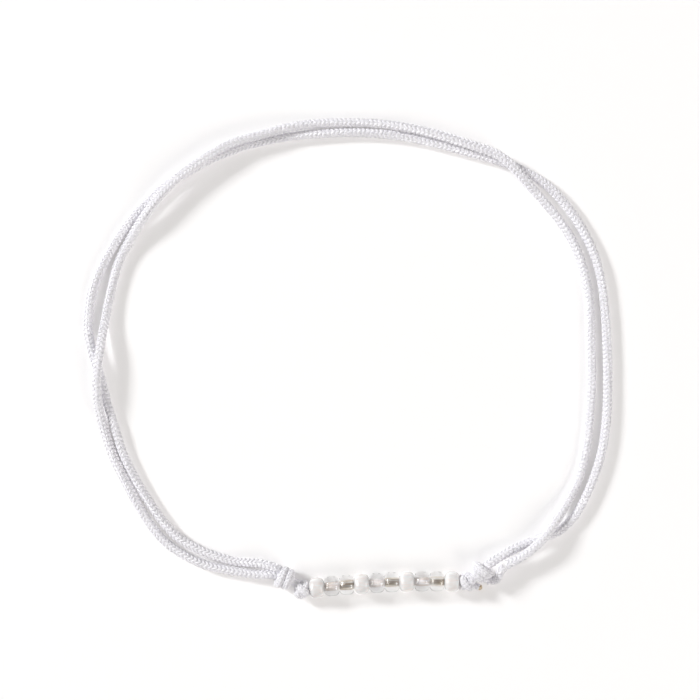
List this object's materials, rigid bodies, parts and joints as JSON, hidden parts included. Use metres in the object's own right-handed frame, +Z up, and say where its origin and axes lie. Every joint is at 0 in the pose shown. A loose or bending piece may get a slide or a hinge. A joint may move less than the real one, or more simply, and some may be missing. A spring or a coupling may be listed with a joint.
{
  "type": "beaded bracelet",
  "caption": "Adjustable bracelet lying as an open loop: a doubled knitted cord with sliding wrap knots and a short row of round glass seed beads between stopper knots",
  "frame": {"origin": "on the surface that the bracelet lies on, under the middle of its bounding box", "axes": "+Z is up, out of the surface; +X runs along the row of beads to the right as the picture shows it; +Y points across the loop away from the beads"},
  "size_m": [0.0554, 0.0503, 0.0025],
  "materials": {
    "cord": "white knitted nylon cord with a faint lavender cast",
    "white_bead": "opaque white glass with a pearl coat",
    "clear_bead": "clear glass with a faint lustre",
    "silver_lined_bead": "clear glass with a silver lining in the hole",
    "melted_end": "cut cord end melted to a small amber bead"
  },
  "bodies": {
    "root": {"cord_over": "cord", "cord_under": "cord", "cord_turn_right": "cord", "cord_tail_right": "melted_end", "sliding_knot_left": "cord", "sliding_knot_right": "cord", "stopper_knot_left": "cord", "stopper_knot_right": "cord", "bead_thread": "cord", "bead_01": "white_bead", "bead_02": "clear_bead", "bead_03": "silver_lined_bead", "bead_04": "white_bead", "bead_05": "clear_bead", "bead_06": "silver_lined_bead", "bead_07": "white_bead", "bead_08": "clear_bead", "bead_09": "silver_lined_bead", "bead_10": "white_bead"}
  },
  "joints": []
}
